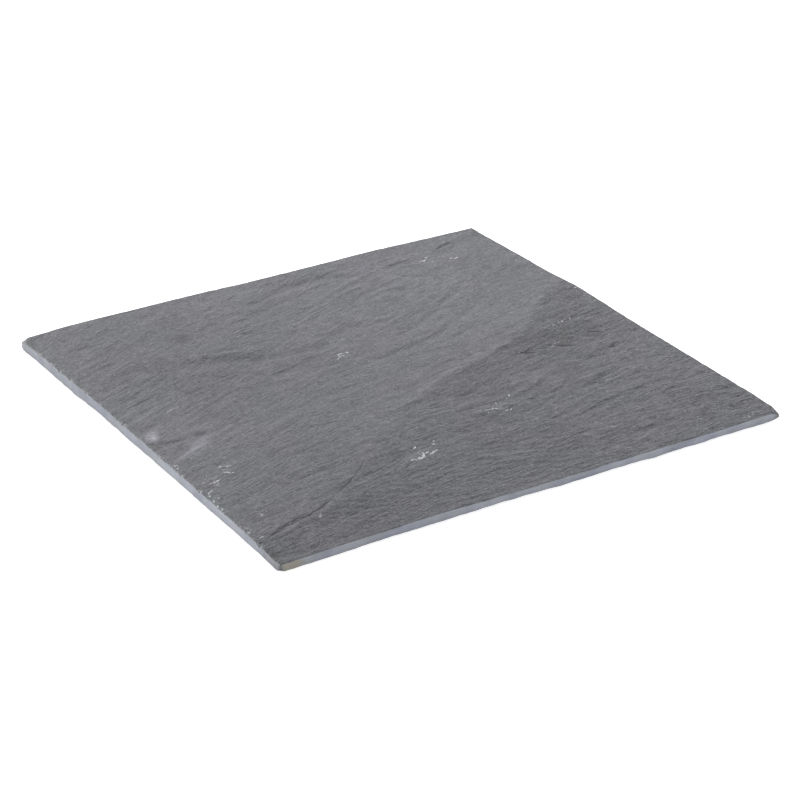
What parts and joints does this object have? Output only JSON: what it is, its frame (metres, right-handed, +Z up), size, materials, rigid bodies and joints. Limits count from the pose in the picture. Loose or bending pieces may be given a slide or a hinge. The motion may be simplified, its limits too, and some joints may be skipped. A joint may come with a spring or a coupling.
{
  "type": "riven slate slab",
  "caption": "Thin square slab of riven slate with sawn edges, standing on stick-on anti-slip pads.",
  "frame": {"origin": "middle of the base, on the plane that the pads stand on", "axes": "+Z up, square to the slab; +X along the front edge from the left corner to the right one; +Y towards the back edge"},
  "size_m": [0.3, 0.3, 0.0096],
  "materials": {
    "slate": "matte",
    "pad_rubber": "matte"
  },
  "bodies": {
    "root": {"slate_slab": "slate", "pad_front_left": "pad_rubber", "pad_front_right": "pad_rubber", "pad_back_left": "pad_rubber", "pad_back_right": "pad_rubber"}
  },
  "joints": []
}
